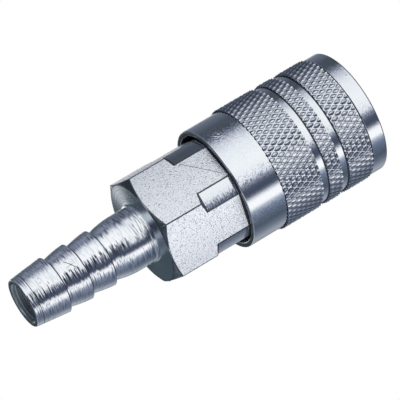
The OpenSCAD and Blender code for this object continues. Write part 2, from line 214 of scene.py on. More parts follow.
# Floor
# A pale sheet under the coupling. The camera sees it plain white, and polished metal mirrors the tent's panels
# instead.
FLOOR_SIZE = 6
FLOOR_BELOW = 0.00002
FLOOR_GREY = 0.85
bpy.ops.mesh.primitive_plane_add(size=FLOOR_SIZE, location=(0, 0, -FLOOR_BELOW))
floor = bpy.context.object
floor.name = "floor"
floor_paint = bpy.data.materials.new("floor_paper")
floor_paint.use_nodes = True
tree = floor_paint.node_tree
tree.nodes.clear()
paper = tree.nodes.new("ShaderNodeBsdfDiffuse")
link(tree, (FLOOR_GREY, FLOOR_GREY, FLOOR_GREY, 1), paper.inputs["Color"])
glow = tree.nodes.new("ShaderNodeEmission")
link(tree, (1, 1, 1, 1), glow.inputs["Color"])
camera_sees(tree, glow.outputs[0], paper.outputs[0], "ShaderNodeOutputMaterial")
floor.data.materials.append(floor_paint)
floor.visible_glossy = False

# Lamp
# One large soft lamp stands beside the coupling. It lights satin metal, rubber and the floor.
LAMP_SIZE = 0.5
LAMP_POWER = 11
LAMP_AT = (-0.36, -0.83, 0.46)
LAMP_AIM = (0, 0, 0.04)
lamp_data = bpy.data.lights.new("soft_lamp", "AREA")
lamp_data.size = LAMP_SIZE
lamp_data.energy = LAMP_POWER
lamp = bpy.data.objects.new("soft_lamp", lamp_data)
bpy.context.scene.collection.objects.link(lamp)
lamp.location = LAMP_AT
lamp.rotation_mode = "QUATERNION"
lamp.rotation_quaternion = (Vector(LAMP_AIM) - lamp.location).to_track_quat("-Z", "Y")
lamp.visible_glossy = False

# Sleeve
# The locking sleeve is turned from brass bar, knurled in three rings by rollers and plated with bright nickel.
# It slides along the socket against its spring, and it can be turned by hand. All sizes are in millimetres.
SLEEVE_LEN = 30.8
FRONT_BAND_R = 12.5
FRONT_BAND_LEN = 3.2
REAR_BAND_R = 12.35
REAR_BAND_Z = 23.01
BAND_STEP = 0.05
EDGE_CHAMFER = 0.2
EDGE_LINE = 0.08
RIM_ROUND = 0.2
MOUTH_R = 9.7
MOUTH_CHAMFER = 0.5
RING_SHOULDER_Z = 5.05
RAMP_R = 9.0
LAND_R = 8.35
LAND_Z = 8.4
SPRING_SEAT_Z = 11.5
POCKET_R = 11.3
TURNED_SIDES = 192
# Start and length of each knurled ring. A smooth groove follows the first two, with painted shade where it starts.
KNURL_ZONES = [(3.5, 5.4), (10.53, 2.9), (15.06, 7.95)]
GROOVE_R = 12.3
GROOVE_STARTS = [start + length for start, length in KNURL_ZONES[:2]]
GROOVE_SHADE = 0.24
# Corners nearer than this become one
WELD = 0.002
# Metres within which two heights or radii count as the same
NEAR = 0.00001
# A broken edge is rounded in this many steps, and the large faces beside it lead its shading by this weight
BREAK_STEPS = 2
BREAK_WEIGHT = 80
RIM_STEPS = 4


def pick(*pieces):
    """Selects these objects alone, the last of them as the active one."""
    bpy.ops.object.select_all(action="DESELECT")
    for piece in pieces:
        piece.select_set(True)
    bpy.context.view_layer.objects.active = pieces[-1]


def choose(piece, wanted, kind="VERT"):
    """Opens a piece for editing, with only the wanted vertices or edges selected."""
    bpy.ops.object.mode_set(mode="EDIT")
    bpy.ops.mesh.select_mode(type=kind)
    bpy.ops.mesh.select_all(action="DESELECT")
    bpy.ops.object.mode_set(mode="OBJECT")
    for item in piece.data.edges if kind == "EDGE" else piece.data.vertices:
        item.select = wanted(item)
    bpy.ops.object.mode_set(mode="EDIT")


def turned(name, profile, sides):
    """Turns a closed outline of (radius, height) corners in millimetres around the axis."""
    radius, height = profile[0]
    bpy.ops.mesh.primitive_circle_add(vertices=sides, radius=radius / 1000, location=(0, 0, height / 1000))
    piece = bpy.context.object
    piece.name = name
    bpy.ops.object.transform_apply(location=True, rotation=False, scale=False)
    bpy.ops.object.mode_set(mode="EDIT")
    for next_radius, next_height in profile[1:] + profile[:1]:
        bpy.ops.mesh.extrude_region_move(TRANSFORM_OT_translate={"value": (0, 0, (next_height - height) / 1000)})
        growth = next_radius / radius
        bpy.ops.transform.resize(value=(growth, growth, 1), center_override=(0, 0, next_height / 1000))
        radius, height = next_radius, next_height
    bpy.ops.mesh.select_all(action="SELECT")
    bpy.ops.mesh.remove_doubles(threshold=WELD / 1000)
    bpy.ops.mesh.normals_make_consistent(inside=False)
    bpy.ops.object.mode_set(mode="OBJECT")
    return piece


def soften(piece, width, angle, finish=-1):
    """Breaks the sharp edges with a small bevel, in a finish of its own if one is named, and shades the rest
    smoothly."""
    pick(piece)
    bevel = piece.modifiers.new("edge_break", "BEVEL")
    bevel.limit_method = "ANGLE"
    bevel.angle_limit = math.radians(angle)
    bevel.width = width / 1000
    bevel.segments = BREAK_STEPS
    bevel.material = finish
    bevel.use_clamp_overlap = False
    bpy.ops.object.modifier_apply(modifier=bevel.name)
    bpy.ops.object.shade_smooth()
    level = piece.modifiers.new("level_shading", "WEIGHTED_NORMAL")
    level.weight = BREAK_WEIGHT
    bpy.ops.object.modifier_apply(modifier=level.name)


def on_rear_rim(edge):
    """Says whether an edge runs around the sleeve's rear end."""
    ends = [sleeve_blank.data.vertices[index].co for index in edge.vertices]
    level = all(abs(end.z - SLEEVE_LEN / 1000) < NEAR for end in ends)
    return level and abs(ends[0].xy.length - ends[1].xy.length) < NEAR


sleeve_blank = turned("sleeve", [
    (MOUTH_R + MOUTH_CHAMFER, 0), (FRONT_BAND_R - EDGE_CHAMFER, 0), (FRONT_BAND_R, EDGE_CHAMFER),
    (FRONT_BAND_R, EDGE_CHAMFER + EDGE_LINE), (FRONT_BAND_R, FRONT_BAND_LEN - BAND_STEP),
    (GROOVE_R, FRONT_BAND_LEN + BAND_STEP),
    (GROOVE_R, GROOVE_STARTS[0]), (GROOVE_R, GROOVE_STARTS[0] + GROOVE_SHADE),
    (GROOVE_R, GROOVE_STARTS[1]), (GROOVE_R, GROOVE_STARTS[1] + GROOVE_SHADE),
    (GROOVE_R, REAR_BAND_Z - 2 * BAND_STEP),
    (REAR_BAND_R, REAR_BAND_Z - BAND_STEP), (REAR_BAND_R, SLEEVE_LEN), (POCKET_R, SLEEVE_LEN),
    (POCKET_R, SPRING_SEAT_Z), (LAND_R, SPRING_SEAT_Z), (LAND_R, LAND_Z), (RAMP_R, RING_SHOULDER_Z),
    (MOUTH_R, RING_SHOULDER_Z), (MOUTH_R, MOUTH_CHAMFER)], TURNED_SIDES)
choose(sleeve_blank, on_rear_rim, "EDGE")
bpy.ops.mesh.bevel(offset=RIM_ROUND / 1000, segments=RIM_STEPS, affect="EDGES")
bpy.ops.mesh.select_mode(type="VERT")
bpy.ops.object.mode_set(mode="OBJECT")
soften(sleeve_blank, width=0.06, angle=28)

# Diamonds of the knurl: every second corner of a fine grid is pushed out, then points and valleys are smoothed
KNURL_TIP_R = 12.86
KNURL_VALLEY_R = 12.44
KNURL_COUNT = 62
KNURL_ROW = 1.11
# The grid's cells are cut this many times and then blurred by this share
KNURL_CUTS = 3
KNURL_BLUR = 0.5
# The ring's ends go in to this share of their radius
KNURL_SINK = 0.95
# Edges are shaded smoothly up to this many degrees
SMOOTH_UP_TO = 50


def knurl_ring(start, length):
    """One knurled ring of the sleeve, cut square at both ends."""
    bpy.ops.mesh.primitive_circle_add(vertices=2 * KNURL_COUNT, radius=KNURL_VALLEY_R / 1000,
                                      location=(0, 0, start / 1000))
    ring = bpy.context.object
    ring.name = "knurl_ring"
    bpy.ops.object.transform_apply(location=True, rotation=False, scale=False)
    bpy.ops.object.mode_set(mode="EDIT")
    for row in range(math.ceil(length / KNURL_ROW)):
        bpy.ops.mesh.extrude_region_move(TRANSFORM_OT_translate={"value": (0, 0, KNURL_ROW / 1000)})

    def is_tip(vertex):
        column = round(math.atan2(vertex.co.y, vertex.co.x) * KNURL_COUNT / math.pi)
        return (column + round((vertex.co.z * 1000 - start) / KNURL_ROW)) % 2 == 1

    choose(ring, is_tip)
    growth = KNURL_TIP_R / KNURL_VALLEY_R
    bpy.ops.transform.resize(value=(growth, growth, 1), center_override=(0, 0, 0))
    bpy.ops.mesh.select_all(action="SELECT")
    bpy.ops.mesh.quads_convert_to_tris(quad_method="SHORTEST_DIAGONAL", ngon_method="BEAUTY")
    bpy.ops.mesh.subdivide(number_cuts=KNURL_CUTS, smoothness=0)
    bpy.ops.mesh.vertices_smooth(factor=KNURL_BLUR, repeat=1, xaxis=True, yaxis=True, zaxis=False)
    bpy.ops.mesh.bisect(plane_co=(0, 0, (start + length) / 1000), plane_no=(0, 0, 1), clear_outer=True)
    # Both ends run in to the blank and meet inside it
    for end in (start, start + length):
        choose(ring, lambda vertex: abs(vertex.co.z - end / 1000) < NEAR and vertex.co.xy.length * 1000 > GROOVE_R)
        bpy.ops.mesh.extrude_region_move()
        bpy.ops.transform.resize(value=(KNURL_SINK, KNURL_SINK, 1), center_override=(0, 0, 0))
    choose(ring, lambda vertex: vertex.co.xy.length * 1000 < GROOVE_R)
    bpy.ops.mesh.select_mode(type="EDGE")
    bpy.ops.mesh.bridge_edge_loops()
    bpy.ops.mesh.select_mode(type="VERT")
    bpy.ops.mesh.select_all(action="SELECT")
    bpy.ops.mesh.normals_make_consistent(inside=False)
    bpy.ops.object.mode_set(mode="OBJECT")
    bpy.ops.object.shade_smooth_by_angle(angle=math.radians(SMOOTH_UP_TO))
    return ring


knurl_rings = [knurl_ring(start, length) for start, length in KNURL_ZONES]

# Levels of noise at which tool marks have their walls, and how steep the lower wall is beside the higher one
HIGH_WALL = (0.53, 0.57)
LOW_WALL = (0.42, 0.46)
LOW_WALL_SHARE = 0.7


def vector_node(tree, operation, first, second=None):
    node = tree.nodes.new("ShaderNodeVectorMath")
    node.operation = operation
    link(tree, first, node.inputs[0])
    link(tree, second, node.inputs["Scale"] if operation == "SCALE" else node.inputs[1])
    return node.outputs["Value"] if operation in ("LENGTH", "DOT_PRODUCT") else node.outputs["Vector"]


def in_world(tree, direction):
    """Turns a direction of the piece with the piece, as a joint moves it."""
    node = tree.nodes.new("ShaderNodeVectorTransform")
    node.vector_type = "VECTOR"
    node.convert_from = "OBJECT"
    node.convert_to = "WORLD"
    link(tree, direction, node.inputs[0])
    return node.outputs[0]


def noise(tree, place, size, detail, name="noise"):
    """Noise with patches of about this size in millimetres."""
    node = tree.nodes.new("ShaderNodeTexNoise")
    node.name = name
    for socket, source in (("Vector", place), ("Scale", 1000 / size), ("Detail", detail)):
        link(tree, source, node.inputs[socket])
    return node.outputs["Fac"]


def bumped(tree, height, distance=1, facing=None):
    """The direction that a face looks once its height varies."""
    node = tree.nodes.new("ShaderNodeBump")
    for socket, source in (("Strength", 1), ("Distance", distance), ("Height", height), ("Normal", facing)):
        link(tree, source, node.inputs[socket])
    return node.outputs[0]


def from_axis(tree, split):
    """Distance from the axis, from the node that splits a place."""
    squares = [math_node(tree, "MULTIPLY", split.outputs[axis], split.outputs[axis]) for axis in "XY"]
    return math_node(tree, "SQRT", math_node(tree, "ADD", *squares))


def metal_finish(name, colour, roughness, line_pitch, line_depth, grain_size, grain_depth, sheen=1, around=False,
                 streaks=None, marks=None, crown=0):
    """Plate over turned brass, with fine turning lines and a slight grain. Lines run around the axis on turned
    faces, and as rings about it on faced ends. Sheen under 1 is a satin plate, which scatters part of the light.
    Streaks are (length, width, tilt) of faint marks that lean around the axis, marks are (length, width, lean) of
    crisp tool marks whose walls lean along it, and crown rounds a flat face a little."""
    material = bpy.data.materials.new(name)
    material.use_nodes = True
    tree = material.node_tree
    shader = tree.nodes["Principled BSDF"]
    for socket, value in (("Metallic", sheen), ("Roughness", roughness), ("Base Color", (*colour, 1))):
        link(tree, value, shader.inputs[socket])
    place = tree.nodes.new("ShaderNodeTexCoord").outputs["Object"]
    split = tree.nodes.new("ShaderNodeSeparateXYZ")
    split.name = "place"
    link(tree, place, split.inputs[0])
    lines = tree.nodes.new("ShaderNodeTexNoise")
    lines.name = "lines"
    lines.noise_dimensions = "1D"
    along = from_axis(tree, split) if around else split.outputs["Z"]
    for socket, source in (("W", along), ("Scale", 1000 / line_pitch), ("Detail", 2)):
        link(tree, source, lines.inputs[socket])
    grain = noise(tree, place, grain_size, 3, "grain")
    height = math_node(tree, "ADD", math_node(tree, "MULTIPLY", lines.outputs["Fac"], line_depth / 1000),
                       math_node(tree, "MULTIPLY", grain, grain_depth / 1000))
    facing = bumped(tree, height)
    if crown:
        out = vector_node(tree, "NORMALIZE", vector_node(tree, "MULTIPLY", place, (1, 1, 0)))
        facing = vector_node(tree, "ADD", vector_node(tree, "SCALE", facing, 1 - crown),
                             vector_node(tree, "SCALE", in_world(tree, out), crown))
    if streaks or marks:
        length, width, most = streaks or marks
        # The place is counted in marks here, so the noise itself has no size to add
        stretched = vector_node(tree, "MULTIPLY", place, (1000 / length, 1000 / length, 1000 / width))
        streak = noise(tree, stretched, 1000, 2, "streak")
    if streaks:
        sideways = vector_node(tree, "NORMALIZE", vector_node(tree, "CROSS_PRODUCT", place, (0, 0, 1)))
        lean = math_node(tree, "MULTIPLY", math_node(tree, "SUBTRACT", streak, 0.5), most)
        facing = vector_node(tree, "ADD", facing, vector_node(tree, "SCALE", in_world(tree, sideways), lean))
    if marks:
        lean = math_node(tree, "ADD", fade(tree, streak, *HIGH_WALL, 0, most),
                         fade(tree, streak, *LOW_WALL, -LOW_WALL_SHARE * most, 0))
        facing = vector_node(tree, "ADD", facing, vector_node(tree, "SCALE", in_world(tree, (0, 0, 1)), lean))
    if crown or streaks or marks:
        facing = vector_node(tree, "NORMALIZE", facing)
    link(tree, facing, shader.inputs["Normal"])
    return material


def tint(material, node, stops):
    """Colours a finish by one of its noises, or by another value, through the given (position, colour) stops."""
    tree = material.node_tree
    source = tree.nodes[node].outputs["Fac"] if isinstance(node, str) else node
    link(tree, colour_ramp(tree, source, stops), tree.nodes["Principled BSDF"].inputs["Base Color"])


def place_in(tree):
    """Where a finish reads the piece's own coordinates."""
    return tree.nodes["place"].inputs[0].links[0].from_socket


SCRATCH_COLOUR = (0.06, 0.07, 0.09, 1)


def scratch(material, start, end, width, depth=0.85):
    """A dark scratch between two places given in millimetres, or a nick where they are the same."""
    tree = material.node_tree
    colour = tree.nodes["Principled BSDF"].inputs["Base Color"]
    run = (Vector(end) - Vector(start)) / 1000
    beyond = vector_node(tree, "SUBTRACT", place_in(tree), Vector(start) / 1000)
    if run.length > 0:
        share = vector_node(tree, "DOT_PRODUCT", beyond, run / run.length_squared)
        held = math_node(tree, "MINIMUM", math_node(tree, "MAXIMUM", share, 0), 1)
        beyond = vector_node(tree, "SUBTRACT", beyond, vector_node(tree, "SCALE", run, held))
    gap = math_node(tree, "DIVIDE", vector_node(tree, "LENGTH", beyond), width / 1000)
    # Full in the inner half of the width, and faded out at its edge
    mask = math_node(tree, "MULTIPLY", math_node(tree, "MAXIMUM", math_node(tree, "SUBTRACT", 1, gap), 0), 2)
    mask = math_node(tree, "MULTIPLY", math_node(tree, "MINIMUM", mask, 1), depth)
    link(tree, blend(tree, mask, colour.links[0].from_socket, SCRATCH_COLOUR), colour)


def dents(material, centre, reach, size, depth):
    """A cluster of small dents around a place given in millimetres."""
    tree = material.node_tree
    facing = tree.nodes["Principled BSDF"].inputs["Normal"]
    beyond = vector_node(tree, "SUBTRACT", place_in(tree), Vector(centre) / 1000)
    share = math_node(tree, "DIVIDE", vector_node(tree, "LENGTH", beyond), reach / 1000)
    nearness = math_node(tree, "MAXIMUM", math_node(tree, "SUBTRACT", 1, share), 0)
    swing = math_node(tree, "SUBTRACT", noise(tree, place_in(tree), size, 1), 0.5)
    height = math_node(tree, "MULTIPLY", swing, nearness)
    link(tree, bumped(tree, height, depth / 1000, facing.links[0].from_socket), facing)


def paint(piece, finishes, finish_of):
    """Gives each face the finish that finish_of names for it."""
    if not piece.data.materials:
        for finish in finishes:
            piece.data.materials.append(finish)
    for face in piece.data.polygons:
        face.material_index = finishes.index(finish_of(face))


sleeve_plate = metal_finish("sleeve_plate", (0.93, 0.95, 0.98), roughness=0.1, line_pitch=0.15, line_depth=0.0012,
                            grain_size=0.26, grain_depth=0.006, marks=(0.4, 0.22, 0.07))
tint(sleeve_plate, "grain", [(0.28, (0.82, 0.84, 0.88)), (0.42, (0.97, 0.98, 1))])
# Edges, corners and grooves get a dark finish as painted shade, and the pocket's dull plate is painted darker as
# painted shade
painted_shade = metal_finish("painted_shade", (0.1, 0.11, 0.14), roughness=0.35, line_pitch=0.3, line_depth=0.001,
                       grain_size=0.2, grain_depth=0.003, sheen=0.8)
pocket_shade_plate = metal_finish("pocket_shade_plate", (0.26, 0.29, 0.33), roughness=0.4, line_pitch=0.3, line_depth=0.002,
                           grain_size=0.2, grain_depth=0.003, sheen=0.6)
knurl_plate = metal_finish("knurl_plate", (0.8, 0.82, 0.85), roughness=0.2, line_pitch=0.12, line_depth=0.0008,
                           grain_size=0.2, grain_depth=0.006, sheen=0.96, crown=0.34)
# Painted highlights on the points and along the valley floors, and painted shade on the flanks between them, by
# height over the axis
KNURL_DEEP_R = 12.5
KNURL_HIGH_R = 12.8
tree = knurl_plate.node_tree
rise = math_node(tree, "SUBTRACT", from_axis(tree, tree.nodes["place"]), KNURL_DEEP_R / 1000)
rise = math_node(tree, "DIVIDE", rise, (KNURL_HIGH_R - KNURL_DEEP_R) / 1000)
tint(knurl_plate, rise, [(0, (0.9, 0.92, 0.97)), (0.05, (0.62, 0.64, 0.7)), (0.14, (0.2, 0.21, 0.26)),
                         (0.4, (0.38, 0.4, 0.45)), (0.65, (0.9, 0.92, 0.95)), (0.8, (1, 1, 1))])
# Small dents in the rear band, and a nick in the front band
DENTS_AT = (12.07, -2.6, 28.2)
NICK_AT = (11.16, -5.62, 0.94)
# The pocket's painted shade runs on over its rim, and the front edge's painted shade starts outside the mouth
POCKET_REACH = 0.05
MOUTH_REACH = 1
# A face counts as part of an end or of a wall when its middle is this near to it
END_NEAR = 0.02
WALL_NEAR = 0.1
dents(sleeve_plate, DENTS_AT, reach=1.8, size=0.55, depth=0.2)
scratch(sleeve_plate, NICK_AT, NICK_AT, width=0.16)


def sleeve_finish(face):
    """Bright plate outside, and painted shade: a darker pocket, and a dark finish on the rear face, the front edge
    and beside the knurl.
    """
    out, height = face.center.xy.length * 1000, face.center.z * 1000
    if out < POCKET_R + POCKET_REACH and height > MOUTH_CHAMFER:
        return pocket_shade_plate
    on_front_edge = out > MOUTH_R + MOUTH_REACH and END_NEAR < height < EDGE_CHAMFER + EDGE_LINE
    if height > SLEEVE_LEN - END_NEAR or on_front_edge:
        return painted_shade
    beside_knurl = height < KNURL_ZONES[0][0] or any(low < height < low + GROOVE_SHADE for low in GROOVE_STARTS)
    return painted_shade if beside_knurl and abs(out - GROOVE_R) < WALL_NEAR else sleeve_plate


paint(sleeve_blank, [sleeve_plate, pocket_shade_plate, painted_shade], sleeve_finish)
# The rings' square ends, told by how level they lie, get the painted shade
KNURL_END_LEVEL = 0.95
for piece in knurl_rings:
    paint(piece, [knurl_plate, painted_shade],
          lambda face: painted_shade if abs(face.normal.z) > KNURL_END_LEVEL else knurl_plate)
pick(*knurl_rings, sleeve_blank)
bpy.ops.object.join()
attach(sleeve_blank, "sleeve")
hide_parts("sleeve")

# Hexagon and hose barb
# One piece turned from hexagon brass bar and nickel plated. Its front corners are turned down so that the sleeve
# can slide back over them, the front body screws into it, and the hose is pushed over the three barbs.
HEX_AF = 20.5
HEX_CORNER_R = HEX_AF / 2 / math.cos(math.radians(30))
HEX_CUT = 0.2
HEX_FACE_Z = 47.4
HEX_FACE_R = 10.15
ADAPTOR_Z = 27
TURNED_R = 10.9
TURNED_CHAMFER = 0.5
SHOULDER_Z = 37.9
SHOULDER_RUN = 0.8
THREAD_R = 8.0
GASKET_STOP_Z = 34.8
CHAMBER_R = 6.6
SPRING_STOP_Z = 38.6
BARB_BORE_R = 3.75
# The barb runs on through the hexagon to the spring's stop. The hexagon's own hole lies hidden in the barb's wall,
# and its inner face lies this far above the barb's end.
CORE_R = 4.25
CORE_GAP = 0.05
BAR_LEN = 30
BAR_MIDDLE = 38

# The hexagon's flats are left as the bar was drawn, satin and finely pitted. Its faced end is darker, and its
# chamfer and bores are painted darker as painted shade.
turned_plate = metal_finish("turned_plate", (0.96, 0.97, 0.99), roughness=0.12, line_pitch=0.25, line_depth=0.006,
                            grain_size=0.25, grain_depth=0.008, streaks=(0.5, 0.2, 0.3))
flat_plate = metal_finish("flat_plate", (0.95, 0.96, 0.98), roughness=0.16, line_pitch=0.5, line_depth=0.0004,
                          grain_size=0.24, grain_depth=0.1, sheen=0.62, crown=0.2)
tint(flat_plate, "grain", [(0.34, (0.25, 0.27, 0.33)), (0.41, (0.86, 0.88, 0.92)), (0.5, (0.97, 0.98, 1))])
scratch(flat_plate, (10.56, -2.21, 37.0), (7.64, -7.26, 31.71), width=0.1, depth=0.7)
faced_plate = metal_finish("faced_plate", (0.5, 0.56, 0.62), roughness=0.22, line_pitch=0.4, line_depth=0.05,
                           grain_size=0.2, grain_depth=0.003, around=True, crown=0.14)
# The chamfer by the barb and the barb's tip face are painted dark as painted shade
end_plate = metal_finish("end_plate", (0.2, 0.235, 0.26), roughness=0.22, line_pitch=0.3, line_depth=0.01,
                         grain_size=0.2, grain_depth=0.003, around=True)
# The bores and the barb's bore chamfer are painted dark as painted shade
bore_plate = metal_finish("bore_plate", (0.34, 0.38, 0.43), roughness=0.3, line_pitch=0.4, line_depth=0.02,
                          grain_size=0.2, grain_depth=0.003, sheen=0.8)
tint(bore_plate, "lines", [(0.4, (0.26, 0.31, 0.35)), (0.56, (0.36, 0.42, 0.46)), (0.66, (0.75, 0.8, 0.85))])
barb_plate = metal_finish("barb_plate", (0.9, 0.91, 0.94), roughness=0.08, line_pitch=0.3, line_depth=0.01,
                          grain_size=0.22, grain_depth=0.006, marks=(2.6, 0.22, 0.2))
tint(barb_plate, "streak", [(0.33, (0.8, 0.82, 0.86)), (0.42, (0.93, 0.94, 0.96)), (0.56, (0.97, 0.98, 1)),
                            (0.66, (0.8, 0.82, 0.86))])
for start, end, width, depth in (
        ((4.87, -2.22, 64.48), (4.29, -3.39, 63.65), 0.12, 0.85),
        ((4.29, -3.39, 63.65), (3.49, -4.38, 62.83), 0.12, 0.85),
        ((4.2, -3.31, 64.8), (4.37, -3.34, 63.01), 0.1, 0.6),
        ((4.62, -2.38, 70.24), (4.62, -2.38, 70.24), 0.2, 0.85),
        ((4.18, -3.18, 70.39), (4.18, -3.18, 70.39), 0.16, 0.85)):
    scratch(barb_plate, start, end, width, depth)

blank_r = HEX_CORNER_R + HEX_CUT
chamfer_run = (blank_r - HEX_FACE_R) * math.tan(math.radians(30))
adaptor = turned("barb_adaptor", [
    (THREAD_R, ADAPTOR_Z), (TURNED_R - TURNED_CHAMFER, ADAPTOR_Z), (TURNED_R, ADAPTOR_Z + TURNED_CHAMFER),
    (TURNED_R, SHOULDER_Z), (blank_r, SHOULDER_Z + SHOULDER_RUN), (blank_r, HEX_FACE_Z - chamfer_run),
    (HEX_FACE_R, HEX_FACE_Z), (CORE_R, HEX_FACE_Z), (CORE_R, SPRING_STOP_Z + CORE_GAP),
    (CHAMBER_R, SPRING_STOP_Z + CORE_GAP), (CHAMBER_R, GASKET_STOP_Z), (THREAD_R, GASKET_STOP_Z)], TURNED_SIDES)
bpy.ops.mesh.primitive_cylinder_add(vertices=6, radius=HEX_CORNER_R / 1000, depth=BAR_LEN / 1000,
                                    location=(0, 0, BAR_MIDDLE / 1000))
bar = bpy.context.object
bar.name = "hexagon_bar"
# The bar's corners must lie on the axis +X, as the CAD node's do
bar.rotation_euler.z = math.radians(30)
bpy.ops.object.transform_apply(location=True, rotation=True, scale=False)
pick(adaptor)
cut = adaptor.modifiers.new("hexagon_cut", "BOOLEAN")
cut.operation = "INTERSECT"
cut.object = bar
cut.solver = "EXACT"
bpy.ops.object.modifier_apply(modifier=cut.name)
bpy.data.objects.remove(bar)
# Painted shade darkens the plate under the sleeve as far as the rim, so the blank is parted there
SLEEVE_SHADE_Z = SLEEVE_LEN + 0.12
bpy.ops.object.mode_set(mode="EDIT")
bpy.ops.mesh.select_all(action="SELECT")
bpy.ops.mesh.bisect(plane_co=(0, 0, SLEEVE_SHADE_Z / 1000), plane_no=(0, 0, 1))
bpy.ops.mesh.select_all(action="DESELECT")
bpy.ops.object.mode_set(mode="OBJECT")
adaptor_finishes = [turned_plate, flat_plate, faced_plate, painted_shade, bore_plate, end_plate]
for finish in adaptor_finishes:
    adaptor.data.materials.append(finish)
# The broken edges get the dark finish as painted shade, for the dark lines along them
soften(adaptor, width=0.16, angle=14, finish=adaptor_finishes.index(painted_shade))
# Faces are told apart by how level they lie. The flats stand upright, halfway between two corners and outside of
# the bores.
UPRIGHT = 0.02
LEANING = 0.3
LEVEL = 0.9
FLAT_TURN = 30
FLAT_SLACK = 0.6
BORES_R = HEX_FACE_R - 0.3


def adaptor_finish(face):
    """Satin flats, faced end, bright turned corners; painted shade on chamfer, bores, edges, shoulder, under sleeve.
    """
    out, height = face.center.xy.length * 1000, face.center.z * 1000
    bearing = math.degrees(math.atan2(face.normal.y, face.normal.x)) % (2 * FLAT_TURN)
    on_edge = adaptor_finishes[face.material_index] == painted_shade
    # Painted shade on the broken edges and on the plate under the sleeve
    if on_edge or height < SLEEVE_SHADE_Z and out > THREAD_R + WALL_NEAR:
        return painted_shade
    if abs(face.normal.z) < UPRIGHT and abs(bearing - FLAT_TURN) < FLAT_SLACK and out > BORES_R:
        return flat_plate
    if face.normal.z > LEVEL:
        return faced_plate
    if face.normal.z > LEANING:
        return end_plate
    # The shoulder's walls get the dark finish as painted shade
    on_shoulder = SHOULDER_Z - WALL_NEAR < height < SHOULDER_Z + SHOULDER_RUN + WALL_NEAR
    if abs(face.normal.z) > LEANING and on_shoulder:
        return painted_shade
    return bore_plate if out < CHAMBER_R + WALL_NEAR else turned_plate


BARB_LEN = 26.4
BARB_R = 5.7
BARB_ROUND = (0.03, 0.15)
TIP_R = 4.9
TIP_CHAMFER = (0.1, 0.12)
BORE_CHAMFER = 0.3
VALLEY_R = 4.925
BARB_PITCH = 5
FIRST_BARB_LEN = 6.9
STEP_LEN = 0.25
STEP_SHADE_LEN = 0.2
ROOT_R = 5.75
ROOT_RING_R = 6.0
ROOT_RING_LEN = 0.65
ROOT_TAPER_LEN = 5.6
ROOT_SWELL = 1.95
TAPER_SWELL = 1.45
TAPER_STEPS = 7
WALL = 1.2
SINK = 0.5
BARB_SIDES = 128
# A few deeper tool marks run around the nose. Each is given by how far it lies behind the tip.
NOSE_MARKS = (1.45, 1.05, 0.6)
NOSE_MARK_WIDTH = 0.1
NOSE_MARK_DEPTH = 0.035
NOSE_MARK_FLOOR = (0.3, 0.7)
TIP_NEAR = 0.01
tip_z = HEX_FACE_Z + BARB_LEN


def bulging_taper(start, end, swell):
    """Corners of a taper between two (radius, height) places, bulging where swell is over 1. A short cylinder
    ends it."""
    corners = []
    for step in range(TAPER_STEPS + 1):
        share = step / TAPER_STEPS
        corners.append((start[0] + (end[0] - start[0]) * share ** swell,
                        start[1] + (end[1] - STEP_SHADE_LEN - start[1]) * share))
    return corners + [end]


crests = [tip_z - FIRST_BARB_LEN - place * BARB_PITCH for place in (2, 1, 0)]
outline = [(BARB_BORE_R, SPRING_STOP_Z), (BARB_BORE_R + WALL, SPRING_STOP_Z),
           (BARB_BORE_R + WALL, HEX_FACE_Z - SINK), (ROOT_RING_R, HEX_FACE_Z - SINK),
           (ROOT_RING_R, HEX_FACE_Z + ROOT_RING_LEN), (ROOT_R, HEX_FACE_Z + ROOT_RING_LEN)]
start = (ROOT_R, crests[0] - ROOT_TAPER_LEN)
for crest, swell in zip(crests, (ROOT_SWELL, TAPER_SWELL, TAPER_SWELL)):
    outline += bulging_taper(start, (VALLEY_R, crest - STEP_LEN), swell)
    outline.append((BARB_R, crest))
    start = (BARB_R - BARB_ROUND[0], crest + BARB_ROUND[1])
outline.append(start)
slope = (BARB_R - TIP_R) / FIRST_BARB_LEN
for back in NOSE_MARKS:
    for step, sink in ((0, 0), *((share, NOSE_MARK_DEPTH) for share in NOSE_MARK_FLOOR), (1, 0)):
        beyond = back - step * NOSE_MARK_WIDTH
        outline.append((TIP_R + slope * beyond - sink, tip_z - beyond))
outline += [(TIP_R, tip_z - TIP_CHAMFER[1]), (TIP_R - TIP_CHAMFER[0], tip_z), (BARB_BORE_R + BORE_CHAMFER, tip_z),
            (BARB_BORE_R, tip_z - BORE_CHAMFER)]
barb = turned("hose_barb", outline, BARB_SIDES)
soften(barb, width=0.05, angle=30)


def barb_finish(face):
    """Turned plate with tool marks, and painted shade on the bore, the tip, the corners and the farthest nose mark."""
    height = face.center.z * 1000
    if face.center.xy.length * 1000 < BARB_BORE_R + BORE_CHAMFER:
        return bore_plate
    # Painted shade in the corners behind each crest, and in the nose mark farthest from the tip
    in_corner = any(crest - STEP_LEN - STEP_SHADE_LEN < height < crest - END_NEAR for crest in crests)
    if in_corner or tip_z - NOSE_MARKS[0] < height < tip_z - NOSE_MARKS[0] + NOSE_MARK_WIDTH:
        return painted_shade
    return end_plate if height > tip_z - TIP_NEAR else barb_plate


paint(adaptor, adaptor_finishes, adaptor_finish)
paint(barb, [barb_plate, painted_shade, bore_plate, end_plate], barb_finish)
pick(barb, adaptor)
bpy.ops.object.join()
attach(adaptor, "socket")
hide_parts("barb_adaptor")


# Front body
# Turned from brass bar and nickel plated. It screws into the adaptor and holds the balls, the seals and the valve,
# and the plug goes into its bore.
def dress(node, material):
    """Gives a CAD node one finish all over."""
    node.data.materials.clear()
    node.data.materials.append(material)


body_plate = metal_finish("body_plate", (0.8, 0.82, 0.85), roughness=0.2, line_pitch=0.25, line_depth=0.004,
                          grain_size=0.25, grain_depth=0.003)
dress(nodes["front_body"], body_plate)

